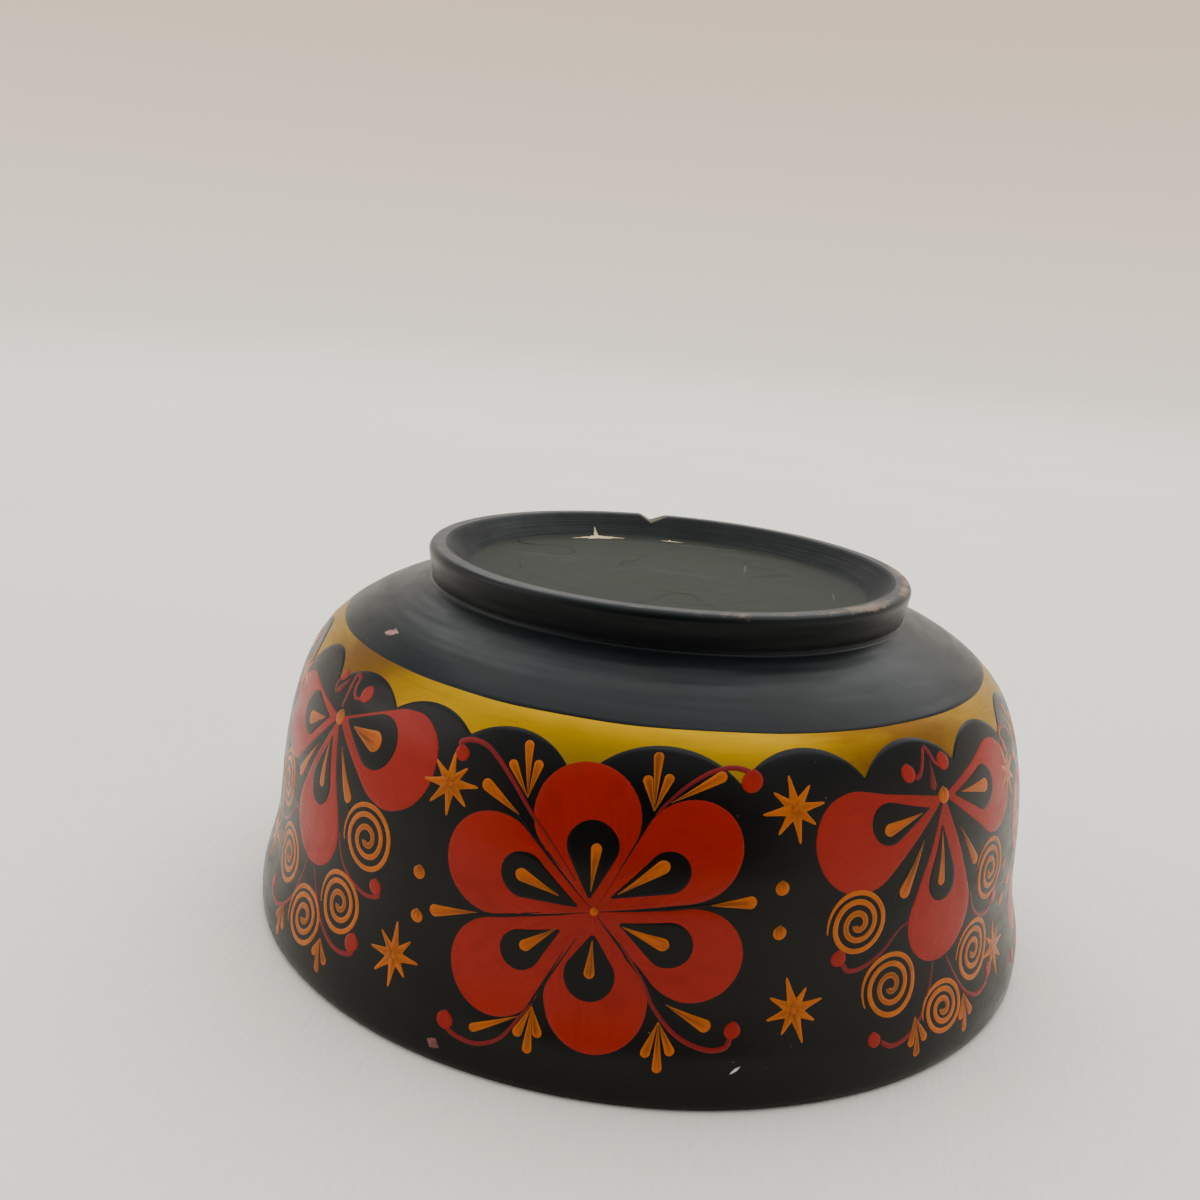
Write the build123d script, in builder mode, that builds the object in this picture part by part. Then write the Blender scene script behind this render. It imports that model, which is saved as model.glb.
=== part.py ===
from build123d import *
import os
from math import acos, cos, degrees, radians, sin

# A turned wooden bowl with a painted and lacquered finish, standing on its mouth with the foot ring up.
#
# The wooden body is one solid. Each coat of the finish is a thin solid of its own around it, and every
# painted flower is a set of thin films on the black coat. Lengths are in millimetres and +Z is up. The origin
# is the centre of the circle on which the rim rests. The front is the side at -Y, and has a full flower on it.

# ---------------------------------------------------------------- driving dimensions

PRIMER = 0.20            # thickness of the clay primer
GROUND = 0.15            # thickness of the gold ground
BLACK = 0.15             # thickness of the black coats
PAINT = 0.15             # thickness of the painted ornament
FINISH = PRIMER + GROUND + BLACK

RIM_LAND_OUT = 72.9      # outer radius of the flat land that the bowl stands on
RIM_LAND_IN = 71.4
RIM_ROUND = 2.2          # rounding of the lip, outside
RIM_ROUND_IN = 1.8

# The outside wall from the lip to the foot: (radius of an arc, turn in degrees), where a plus turns inward,
# or (STRAIGHT, length). No arc's radius is over half the bowl's, so every turned face is a true ring.
STRAIGHT = 0.0
WALL_RUNS = (
    (22.5, 21.5), (52.5, -13.5), (STRAIGHT, 6.5), (34.0, 4.0), (STRAIGHT, 5.0),
    (34.0, 6.5), (STRAIGHT, 3.2), (34.0, 10.5), (20.0, 28.5),
)
UNDERSIDE_RUNS = ((35.0, 17.0), (STRAIGHT, 6.9))
LIP_FLARE = 5.0          # the wall leans out by this angle just above the lip
# The hollow from the lip to the edge of its floor, in the same form. The floor is a shallow dish.
HOLLOW_RUNS = (
    (STRAIGHT, 15.0), (34.0, 7.0), (STRAIGHT, 8.0), (30.0, 24.0), (STRAIGHT, 5.0), (20.0, 45.0),
)
HOLLOW_LIP_TURN = 88.0

FOOT_TOP = 70.7          # height of the foot ring's land
FOOT_FLARE = 10.0        # the foot ring leans out by this angle
FOOT_COVE = 0.6
FOOT_ROUND = 1.3
FOOT_LAND = 1.7          # width of the foot ring's flat land
RECESS_FLOOR = 66.1      # height of the sunk disc inside the foot ring
RECESS_SLOPE = 44.0      # slope of the ring's inner face, in degrees
RECESS_COVE = 2.0

NOTCH_AT = -169.3        # where the foot ring is chipped, in degrees round from the front
NOTCH_WIDTH = 6.4
NOTCH_DEPTH = 1.5
NOTCH_SKEW = 0.08        # its lowest point is off its middle by this share of its width

# Where the flowers are, in degrees round from the front. A hand placed them, so the half flowers are not
# quite midway between the full ones.
FULL_FLOWERS = {"front": 0.0, "right": 90.0, "back": 180.0, "left": 270.0}
HALF_FLOWERS = {"front_right": 48.5, "back_right": 136.5, "back_left": 226.0, "front_left": 314.2}

LIP_PATH = 1.8           # length of the lip's rounding that lies under the height of the rim

# Scallops round the top of the black wall field: (degrees round from the front, how far up the wall from the
# rim the arch's top is, the arch's radius). Gold teeth come down between neighbours.
SCALLOPS = (
    (7.1, 56.3, 14.1), (25.9, 56.8, 11.7), (43.5, 56.8, 11.8), (60.6, 56.4, 11.8), (78.0, 56.5, 11.7),
    (95.2, 56.3, 11.9), (113.1, 56.6, 11.9), (130.4, 56.4, 11.6), (147.6, 56.7, 11.8), (165.3, 56.3, 11.9),
    (182.6, 56.5, 11.7), (200.1, 56.6, 11.8), (217.4, 56.3, 11.6), (235.0, 56.5, 11.9), (252.1, 56.7, 11.7),
    (269.6, 56.4, 11.9), (286.7, 56.5, 11.6), (303.2, 56.6, 8.4), (318.3, 56.4, 12.4), (332.9, 55.9, 11.3),
    (346.5, 55.6, 11.0),
)
SCALLOP_ROOT = 48.5      # the black wall field is whole up to here
SCALLOP_LEAN = 38.0      # the wall leans in by this angle where the scallops are
SCALLOP_TOUCH = 0.45     # share of an arch's radius, from its top, where its disc touches the wall
CUT_SIDE = 3.0           # how far the scallop tool stands off the wall on each side
REACH = 90.0             # longer than the bowl's radius, for cutting tools
OVER = 0.01              # how far a cutting tool starts clear of a face

GAP_LENGTH = 22.0        # dark gaps between neighbouring petals
GAP_WIDTH = 0.5
CENTRE_CLEAR = 1.5       # radius left free of red at a flower's centre
ROSETTE_CENTRE = 0.8     # radius of the ochre dot there
HALF_CENTRE = 1.3
SPRIG_RADIUS = 0.9
STEM_RADIUS = 0.4
TENDRIL_WIDTH = 0.6
SPIRAL_TURNS = 3
SPIRAL_WIDTH = 0.95
SPIRAL_EYE = 0.12        # radius left open at a spiral's middle


# ---------------------------------------------------------------- sections of the turned shape


def chain(first, runs):
    """Arcs and straight runs that follow on from one another. Returns the last one."""
    last = first
    for radius, amount in runs:
        if radius == STRAIGHT:
            last = Line(last @ 1, last @ 1 + (last % 1) * amount)
        else:
            last = JernArc(start=last @ 1, tangent=last % 1, radius=radius, arc_size=amount)
    return last


def lean_after(runs):
    """The wall's lean out from upright at the end of its runs, in degrees."""
    return LIP_FLARE - sum(amount for radius, amount in runs if radius != STRAIGHT)


def lip_arc():
    """The rounding from the rim's land up to the start of the wall."""
    return JernArc(
        start=(RIM_LAND_OUT, -FINISH), tangent=(1, 0), radius=RIM_ROUND, arc_size=90 - LIP_FLARE
    )


with BuildLine() as wall_line:
    chain(lip_arc(), WALL_RUNS)

WALL = wall_line.wire()
BAND_TOP = WALL @ 1                                  # where the gold band meets the black foot coat
BAND_LEAN = lean_after(WALL_RUNS)


def wall_point(up):
    """Radius and height of the wall at a distance up the surface from the rim's land."""
    return WALL @ (up / WALL.length)


def turned_section(depth):
    """The right half of the bowl's section, taken in by depth from the black coat's surface."""
    with BuildSketch(Plane.XZ) as section:
        with BuildLine():
            lip = lip_arc()
            outside_runs = WALL_RUNS + UNDERSIDE_RUNS
            wall = chain(lip, outside_runs)
            lean = lean_after(outside_runs)
            cove = JernArc(
                start=wall @ 1, tangent=wall % 1, radius=FOOT_COVE, arc_size=lean - FOOT_FLARE
            )
            round_height = FOOT_ROUND * (1 + sin(radians(FOOT_FLARE)))
            side_height = FOOT_TOP - round_height - (cove @ 1).Y
            side = Line(cove @ 1, cove @ 1 + (cove % 1) * (side_height / cos(radians(FOOT_FLARE))))
            crown = JernArc(
                start=side @ 1, tangent=side % 1, radius=FOOT_ROUND, arc_size=90 + FOOT_FLARE
            )
            land = Line(crown @ 1, crown @ 1 - Vector(FOOT_LAND, 0))
            inner_crown = JernArc(
                start=land @ 1, tangent=land % 1, radius=FOOT_ROUND, arc_size=RECESS_SLOPE
            )
            cove_height = RECESS_COVE * (1 - cos(radians(RECESS_SLOPE)))
            slope_height = (inner_crown @ 1).Y - RECESS_FLOOR - cove_height
            slope = Line(
                inner_crown @ 1,
                inner_crown @ 1 + (inner_crown % 1) * (slope_height / sin(radians(RECESS_SLOPE))),
            )
            floor_cove = JernArc(
                start=slope @ 1, tangent=slope % 1, radius=RECESS_COVE, arc_size=-RECESS_SLOPE
            )
            disc = Line(floor_cove @ 1, (0, RECESS_FLOOR))
            inner_lip = JernArc(
                start=(RIM_LAND_IN, -FINISH),
                tangent=(-1, 0),
                radius=RIM_ROUND_IN,
                arc_size=-HOLLOW_LIP_TURN,
            )
            hollow = chain(inner_lip, HOLLOW_RUNS)
            slope_left = HOLLOW_LIP_TURN - sum(turn for radius, turn in HOLLOW_RUNS if radius != STRAIGHT)
            dish = JernArc(
                start=hollow @ 1,
                tangent=hollow % 1,
                radius=(hollow @ 1).X / sin(radians(slope_left)),
                arc_size=slope_left,
            )
            Line(dish @ 1, disc @ 1)
            Line((RIM_LAND_IN, -FINISH), (RIM_LAND_OUT, -FINISH))
        make_face()
        mirror(about=Plane.YZ)
        if depth:
            offset(amount=-depth)
        split(bisect_by=Plane.YZ, keep=Keep.TOP)
    return section.sketch


def coat_section(outside, inside):
    """The section of a coat that lies between two depths, worn off level with the rim's land."""
    with BuildSketch(Plane.XZ) as section:
        add(turned_section(outside))
        add(turned_section(inside), mode=Mode.SUBTRACT)
        with Locations((0, 0)):
            Rectangle(2 * REACH, REACH, align=(Align.CENTER, Align.MIN), mode=Mode.INTERSECT)
    return section.sketch


def wall_mask():
    """Everything on the rim's side of the line where the gold band ends."""
    with BuildSketch(Plane.XZ) as mask:
        with Locations(Location((BAND_TOP.X, BAND_TOP.Y), -BAND_LEAN)):
            Rectangle(REACH, REACH, align=(Align.CENTER, Align.MAX))
    return mask.sketch


def outer_coat(outside, inside, within=None, without=None):
    """A coat on wall and foot as a solid, or the part of it that lies in or out of a mask."""
    with BuildPart() as layer:
        with BuildSketch(Plane.XZ):
            add(coat_section(outside, inside).faces().sort_by(Axis.Z)[-1])
            if within:
                add(within, mode=Mode.INTERSECT)
            if without:
                add(without, mode=Mode.SUBTRACT)
        revolve(axis=Axis.Z)
    return layer.solid().fix()


def inner_coat(outside, inside):
    """A coat on the hollow as a solid."""
    with BuildPart() as layer:
        with BuildSketch(Plane.XZ):
            add(coat_section(outside, inside).faces().sort_by(Axis.Z)[0])
        revolve(axis=Axis.Z)
    return layer.solid().fix()


def around(angle, height=0.0, lean=0.0, radius=0.0):
    """A plane that faces out from the axis, angle degrees round to the right from the front."""
    turn = radians(angle)
    out = Vector(sin(turn), -cos(turn), 0)
    across = Vector(cos(turn), sin(turn), 0)
    origin = out * radius + Vector(0, 0, height)
    return Plane(origin=origin, x_dir=across, z_dir=out.rotate(Axis((0, 0, 0), across), -lean))


def finish(part, name):
    """Labels a piece and writes it."""
    part.label = name
    export_step(part, f"parts/{name}.step")


os.makedirs("parts", exist_ok=True)

# ---------------------------------------------------------------- notch knocked out of the foot ring

with BuildPart() as notch:
    with BuildSketch(around(NOTCH_AT)):
        with BuildLine():
            Polyline(
                (-NOTCH_WIDTH / 2, FOOT_TOP + OVER),
                (NOTCH_WIDTH * NOTCH_SKEW, FOOT_TOP - NOTCH_DEPTH),
                (NOTCH_WIDTH / 2, FOOT_TOP + OVER),
                (NOTCH_WIDTH / 2, FOOT_TOP + NOTCH_DEPTH),
                (-NOTCH_WIDTH / 2, FOOT_TOP + NOTCH_DEPTH),
                close=True,
            )
        make_face()
    extrude(amount=REACH)

# ---------------------------------------------------------------- wooden body and coats

with BuildPart() as turned_body:
    with BuildSketch(Plane.XZ):
        add(turned_section(FINISH))
    revolve(axis=Axis.Z)
    add(notch.part, mode=Mode.SUBTRACT)
finish(turned_body.part, "turned_body")

with BuildPart() as clay_primer_outside:
    add(outer_coat(BLACK + GROUND, FINISH))
    add(notch.part, mode=Mode.SUBTRACT)
finish(clay_primer_outside.part, "clay_primer_outside")

with BuildPart() as clay_primer_inside:
    add(inner_coat(BLACK + GROUND, FINISH))
finish(clay_primer_inside.part, "clay_primer_inside")

with BuildPart() as gold_ground:
    add(outer_coat(BLACK, BLACK + GROUND))
    add(notch.part, mode=Mode.SUBTRACT)
finish(gold_ground.part, "gold_ground")

with BuildPart() as gold_lining:
    add(inner_coat(BLACK, BLACK + GROUND))
finish(gold_lining.part, "gold_lining")

with BuildPart() as black_foot_coat:
    add(outer_coat(0, BLACK, without=wall_mask()))
    add(notch.part, mode=Mode.SUBTRACT)
finish(black_foot_coat.part, "black_foot_coat")

# ---------------------------------------------------------------- black wall field with its scallops

with BuildPart() as scallop_tool:
    with BuildSketch(Plane.XZ):
        with BuildLine():
            root = wall_point(SCALLOP_ROOT)
            out = Vector(CUT_SIDE, 0)
            up = Vector(0, CUT_SIDE)
            Polyline(
                root - out, root + out, BAND_TOP + out + up, BAND_TOP - out + up,
                BAND_TOP - out * 2 - up, close=True,
            )
        make_face()
    revolve(axis=Axis.Z)
    for angle, top, arch in SCALLOPS:
        place = wall_point(top + LIP_PATH - arch * SCALLOP_TOUCH)
        plane = around(angle, place.Y, SCALLOP_LEAN, place.X)
        with BuildSketch(plane.offset(-2 * CUT_SIDE)):
            with Locations((0, -arch * (1 - SCALLOP_TOUCH))):
                Circle(arch)
        extrude(amount=4 * CUT_SIDE, mode=Mode.SUBTRACT)

with BuildPart() as black_wall_field:
    add(outer_coat(0, BLACK, within=wall_mask()))
    add(scallop_tool.part, mode=Mode.SUBTRACT)
finish(black_wall_field.part, "black_wall_field")

# ---------------------------------------------------------------- brush strokes


def on_wall(across, up):
    """A point of the ornament on a flower's plane: across along the wall, and up it from the rim."""
    place = wall_point(up + LIP_PATH)
    return Vector(place.X * sin(across / place.X), place.Y)


def drop(tip, head, radius, mode=Mode.ADD):
    """A stroke with a round head, drawn out to a fine tip."""
    to_tip = (tip - head).normalized()
    swing = degrees(acos(radius / (tip - head).length))
    near = head + to_tip.rotate(Axis.Z, swing) * radius
    far = head + to_tip.rotate(Axis.Z, -swing) * radius
    with BuildLine() as outline:
        Line(tip, near)
        ThreePointArc(near, head - to_tip * radius, far)
        Line(far, tip)
    make_face(outline.edges(), mode=mode)


def dots(points, radius):
    """Round dots at some points."""
    with Locations(*points):
        Circle(radius)


def line_stroke(points, width):
    """A thin stroke of one width along a smooth line."""
    with BuildLine() as path:
        Spline(*points)
    trace(path.edges(), line_width=width)


def spiral(centre, size, turns, width):
    """A coiled stroke made of half rings about two centres in turn."""
    step = size / (2 * turns)
    for half in range(2 * turns):
        middle = centre + Vector(step / 2 * (-1) ** half, 0)
        radius = (half + 1) * step - width / 2
        start = 180 * (half % 2)
        with BuildLine() as outline:
            outside = CenterArc(middle, radius + width / 2, start, 180)
            inside = CenterArc(middle, max(radius - width / 2, SPIRAL_EYE), start, 180)
            Line(outside @ 0, inside @ 0)
            Line(outside @ 1, inside @ 1)
        make_face(outline.edges())


def star(centre, arms, core, lean):
    """An eight-pointed star: short valleys on a circle between arms of different lengths."""
    step = 180.0 / len(arms)
    corners = []
    for index, arm in enumerate(arms):
        corners.append(centre + Vector(arm, 0).rotate(Axis.Z, 2 * index * step + lean))
        corners.append(centre + Vector(core, 0).rotate(Axis.Z, (2 * index + 1) * step + lean))
    with BuildLine() as outline:
        Polyline(*corners, close=True)
    make_face(outline.edges())


def sprig(stem, heads):
    """Three drops that meet on one stem."""
    for head in heads:
        drop(stem, head, SPRIG_RADIUS)
    dots([stem], STEM_RADIUS)


def placed(points, up):
    """The points of a chart about a flower's centre, moved onto the flower's plane."""
    return [on_wall(x, up + y) for x, y in points]


def petal_faces(up, petals, hearts, gaps):
    """Petals about a centre, with a dark drop left open in each and a fine gap between neighbours."""
    centre = on_wall(0, up)
    with BuildSketch() as sketch:
        for x, y, radius in petals:
            drop(centre, on_wall(x, up + y), radius)
        for start_x, start_y, x, y, radius in hearts:
            drop(on_wall(start_x, up + start_y), on_wall(x, up + y), radius, mode=Mode.SUBTRACT)
        for angle in gaps:
            with Locations(Location(centre, angle)):
                Rectangle(GAP_LENGTH, GAP_WIDTH, align=(Align.MIN, Align.CENTER), mode=Mode.SUBTRACT)
        with Locations(centre):
            Circle(CENTRE_CLEAR, mode=Mode.SUBTRACT)
    return sketch.sketch


def drop_faces(up, strokes, sprigs, centre_radius):
    """The ochre strokes of a flower: (tip x, tip y, head x, head y, radius), sprigs and centre dot."""
    with BuildSketch() as sketch:
        for tip_x, tip_y, x, y, radius in strokes:
            drop(on_wall(tip_x, up + tip_y), on_wall(x, up + y), radius)
        for stem, *heads in sprigs:
            sprig(on_wall(stem[0], up + stem[1]), placed(heads, up))
        dots([on_wall(0, up)], centre_radius)
    return sketch.sketch


def tendril_faces(up, tendrils, clear_of):
    """Thin red tendrils that each end in a blob, cut back where they pass under other strokes."""
    with BuildSketch() as sketch:
        for route, (x, y, radius) in tendrils:
            line_stroke(placed(route, up), TENDRIL_WIDTH)
            dots([on_wall(x, up + y)], radius)
        for other in clear_of:
            add(other, mode=Mode.SUBTRACT)
    return sketch.sketch


# ---------------------------------------------------------------- the flowers, drawn about their centres
# Every chart is in millimetres along the wall: across to the right, and up towards the foot.

FLOWER_UP = 30.3         # height of a full flower's centre up the wall from the rim
ROSETTE_PETALS = (
    (-2.6, 14.0, 8.2), (13.5, 10.5, 7.8), (15.5, -5.5, 7.5),
    (1.5, -14.2, 7.9), (-14.5, -11.8, 7.7), (-16.4, 4.3, 7.9),
)
ROSETTE_HEARTS = (
    (-0.9, 1.5, -1.2, 9.8, 4.0), (1.8, 2.2, 10.5, 7.2, 3.3), (3.5, -1.2, 11.6, -4.0, 3.7),
    (0.2, -3.2, 0.2, -10.3, 4.0), (-4.5, -3.5, -10.8, -8.2, 3.3), (-2.0, 0.2, -11.4, 3.7, 3.6),
)
ROSETTE_GAPS = (65.2, 9.2, -48.5, -117.1, 193.9, 136.6)
ROSETTE_STROKES = (
    (-0.8, 2.5, -0.6, 9.5, 0.9), (2.8, 2.8, 9.5, 8.0, 1.1), (4.0, -1.6, 10.6, -3.9, 1.1),
    (0.2, -4.0, 0.2, -9.8, 0.9), (-5.0, -3.3, -10.0, -7.3, 1.0), (-5.0, 1.4, -11.5, 3.6, 1.1),
    (-19.0, -4.1, -25.8, -6.0, 1.0), (17.6, 2.7, 23.2, 3.2, 1.0),
    (-12.9, 12.9, -18.7, 15.7, 1.0), (10.8, 18.7, 16.5, 21.8, 0.9),
    (12.8, -13.9, 18.3, -16.3, 1.0), (-10.2, -19.4, -17.0, -22.0, 0.7),
)
ROSETTE_SPRIGS = (
    ((-12.0, 15.4), (-13.0, 23.0), (-15.0, 19.6), (-11.0, 20.3)),
    ((7.2, 18.6), (6.8, 24.2), (5.2, 22.0), (8.8, 22.4)),
    ((11.3, -16.4), (11.9, -23.0), (9.9, -20.8), (13.5, -20.3)),
    ((-8.0, -18.4), (-8.0, -23.6), (-10.0, -21.8), (-6.0, -21.6)),
)
ROSETTE_TENDRILS = (
    (((-8.2, 9.6), (-11.5, 13.6), (-19.0, 20.7), (-22.0, 21.9), (-24.5, 21.0)), (-24.0, 19.6, 1.2)),
    (((7.2, 15.3), (11.2, 20.0), (15.0, 22.6), (18.0, 23.3), (20.8, 22.6)), (21.3, 21.3, 1.7)),
    (((9.2, -12.0), (11.5, -15.6), (16.0, -19.0), (19.5, -19.9), (22.3, -19.0)), (22.7, -17.4, 1.3)),
    (((-7.8, -15.8), (-11.2, -20.9), (-16.0, -24.3), (-19.0, -24.4), (-21.4, -23.5)), (-22.0, -22.4, 1.4)),
)

HALF_UP = 46.5           # height of a half flower's centre up the wall from the rim
HALF_PETALS = ((-18.5, -5.0, 8.0), (-0.5, -19.5, 8.0), (17.0, -2.0, 7.9))
HALF_HEARTS = (
    (-3.5, -1.3, -12.8, -2.6, 3.4), (-1.0, -4.0, -0.9, -13.6, 3.5), (2.5, -0.3, 12.5, -1.2, 3.8),
)
HALF_STROKES = (
    (-5.0, -1.7, -12.8, -3.5, 1.1), (-1.0, -5.0, -1.2, -13.6, 0.9), (4.5, -0.3, 12.8, -1.0, 1.2),
    (-5.7, -6.6, -9.8, -13.8, 1.1), (4.0, -6.4, 8.7, -12.5, 0.9),
)
HALF_SPRIGS = (
    ((-6.2, -35.7), (-7.6, -39.3), (-6.0, -41.3), (-4.3, -39.3)),
    ((7.3, -35.7), (5.9, -39.0), (7.3, -41.3), (9.0, -39.0)),
)
HALF_SPIRALS = (
    (-18.9, -17.7, 5.4), (-11.4, -29.3, 5.6), (1.0, -36.0, 4.9), (10.8, -29.3, 5.4), (15.6, -16.2, 5.4),
)
HALF_TENDRILS = (
    (((-8.3, -20.2), (-10.5, -21.6), (-13.8, -23.4), (-17.0, -24.6), (-20.0, -24.8)), (-22.0, -23.6, 1.2)),
    (((-2.4, -29.2), (-4.0, -33.6), (-6.5, -37.4), (-9.0, -38.6), (-12.0, -38.9)), (-14.6, -37.3, 1.2)),
    (((3.4, -29.4), (5.4, -32.4), (8.2, -35.6), (11.5, -37.0), (15.0, -36.4)), (17.0, -34.8, 1.2)),
    (((7.6, -19.4), (9.5, -21.6), (12.5, -23.0), (15.5, -23.2)), (18.0, -22.6, 1.2)),
)
BUD_STROKES = ((-3.0, 7.4, -7.0, 4.8, 1.4), (-0.6, 7.6, 1.7, 5.3, 1.3), (-1.6, 1.8, -1.9, 5.6, 0.7))

# Stars and dots between flowers: (degrees from the full flower, star high up, two dots, star low down).
COLUMNS = (
    (24.0, (0.0, 47.5), ((-1.8, 35.6), (-1.7, 28.6)), (1.8, 16.0)),
    (-22.5, (1.8, 44.7), ((-1.2, 29.5), (-0.9, 22.3)), (-4.4, 14.5)),
)
STAR_ARMS = (5.4, 4.0, 5.0, 4.3, 5.5, 3.8, 5.2, 4.4)
STAR_CORE = 1.3
STAR_LEAN = 7.0
DOT_RADIUS = 1.1

# ---------------------------------------------------------------- paint on the wall

paint_skin = outer_coat(-PAINT, 0, within=wall_mask())


def film(faces, angle):
    """Paint of one colour: faces run out from the axis at an angle, cut to the skin over the black coat."""
    with BuildPart() as layer:
        with BuildSketch(around(angle)):
            add(faces)
        extrude(amount=REACH)
        add(paint_skin, mode=Mode.INTERSECT)
    return layer.part


def painted_round(part, name, places, piece):
    """The same paint at each of some places round the bowl, one node each."""
    for place, angle in places.items():
        with BuildPart() as turned:
            add(part, rotation=(0, 0, angle))
        finish(turned.part, f"{name}_{place}_{piece}")


rosette_petals = petal_faces(FLOWER_UP, ROSETTE_PETALS, ROSETTE_HEARTS, ROSETTE_GAPS)
rosette_strokes = drop_faces(FLOWER_UP, ROSETTE_STROKES, ROSETTE_SPRIGS, ROSETTE_CENTRE)
rosette_tendrils = tendril_faces(FLOWER_UP, ROSETTE_TENDRILS, (rosette_petals, rosette_strokes))
painted_round(film(rosette_petals, 0), "rosette", FULL_FLOWERS, "petals")
painted_round(film(rosette_strokes, 0), "rosette", FULL_FLOWERS, "strokes")
painted_round(film(rosette_tendrils, 0), "rosette", FULL_FLOWERS, "tendrils")

half_petals = petal_faces(HALF_UP, HALF_PETALS, HALF_HEARTS, ())
half_strokes = drop_faces(HALF_UP, HALF_STROKES, HALF_SPRIGS, HALF_CENTRE)
with BuildSketch() as half_spirals:
    for x, y, size in HALF_SPIRALS:
        spiral(on_wall(x, HALF_UP + y), size, SPIRAL_TURNS, SPIRAL_WIDTH)
with BuildSketch() as half_bud:
    for tip_x, tip_y, x, y, radius in BUD_STROKES:
        drop(on_wall(tip_x, HALF_UP + tip_y), on_wall(x, HALF_UP + y), radius)
half_tendrils = tendril_faces(
    HALF_UP, HALF_TENDRILS, (half_petals, half_strokes, half_spirals.sketch)
)
painted_round(film(half_petals, 0), "half_flower", HALF_FLOWERS, "petals")
painted_round(film(half_bud.sketch, 0), "half_flower", HALF_FLOWERS, "bud")
painted_round(film(half_strokes, 0), "half_flower", HALF_FLOWERS, "strokes")
painted_round(film(half_spirals.sketch, 0), "half_flower", HALF_FLOWERS, "spirals")
painted_round(film(half_tendrils, 0), "half_flower", HALF_FLOWERS, "tendrils")

for angle, high, pair, low in COLUMNS:
    with BuildSketch() as marks:
        for x, up in (high, low):
            star(on_wall(x, up), STAR_ARMS, STAR_CORE, STAR_LEAN)
        dots([on_wall(x, up) for x, up in pair], DOT_RADIUS)
    hand = "right" if angle > 0 else "left"
    painted_round(film(marks.sketch, angle), "stars", FULL_FLOWERS, hand)
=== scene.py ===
import random
from bisect import bisect_right
from math import asin, ceil, copysign, cos, pi, radians, sin, sqrt

import bpy
from mathutils import Matrix, Vector, noise


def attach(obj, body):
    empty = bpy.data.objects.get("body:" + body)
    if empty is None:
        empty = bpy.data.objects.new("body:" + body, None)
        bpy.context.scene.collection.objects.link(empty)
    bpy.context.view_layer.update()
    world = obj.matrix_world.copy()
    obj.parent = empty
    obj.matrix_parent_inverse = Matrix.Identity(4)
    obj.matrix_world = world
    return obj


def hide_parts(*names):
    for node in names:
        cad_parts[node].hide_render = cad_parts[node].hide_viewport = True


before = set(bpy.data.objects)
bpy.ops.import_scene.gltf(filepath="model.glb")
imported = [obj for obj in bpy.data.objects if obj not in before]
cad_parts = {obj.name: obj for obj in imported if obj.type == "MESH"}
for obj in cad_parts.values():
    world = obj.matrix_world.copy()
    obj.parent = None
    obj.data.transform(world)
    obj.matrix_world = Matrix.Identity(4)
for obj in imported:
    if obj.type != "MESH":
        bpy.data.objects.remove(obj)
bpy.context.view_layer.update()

# The painted bowl's looks. It stands on its mouth, with the foot ring up. Lengths are in millimetres along
# the surface until they become a mesh, which is in metres. Angles run round to the right from the front,
# at -Y.

MM = 0.001

# ------------------------ turned outline, the same runs as the CAD's

STRAIGHT = 0.0           # a run's radius where it doesn't turn
FINISH = 0.5             # depth of all the coats together
RIM_LAND_OUT = 72.9
RIM_LAND_IN = 71.4
RIM_ROUND = 2.2
RIM_ROUND_IN = 1.8
LIP_TURN = 85.0
HOLLOW_LIP_TURN = 88.0
WALL_RUNS = (
    (22.5, 21.5), (52.5, -13.5), (STRAIGHT, 6.5), (34.0, 4.0), (STRAIGHT, 5.0),
    (34.0, 6.5), (STRAIGHT, 3.2), (34.0, 10.5), (20.0, 28.5),
)
UNDERSIDE_RUNS = ((35.0, 17.0), (STRAIGHT, 6.9), (0.6, -79.5))
FOOT_TOP = 70.7
FOOT_FLARE = 10.0
FOOT_ROUND = 1.3
FOOT_LAND = 1.7
RECESS_FLOOR = 66.1
RECESS_SLOPE = 44.0
RECESS_COVE = 2.0
HOLLOW_RUNS = (
    (STRAIGHT, 15.0), (34.0, 7.0), (STRAIGHT, 8.0), (30.0, 24.0), (STRAIGHT, 5.0), (20.0, 45.0),
)
DISH_TURN = 12.0         # what the hollow's floor still turns, from its edge to the middle

NOTCH_AT = -169.3
NOTCH_WIDTH = 6.4
NOTCH_DEPTH = 1.5
NOTCH_SKEW = 0.08        # the notch's lowest point, off its middle by this share of its width


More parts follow.
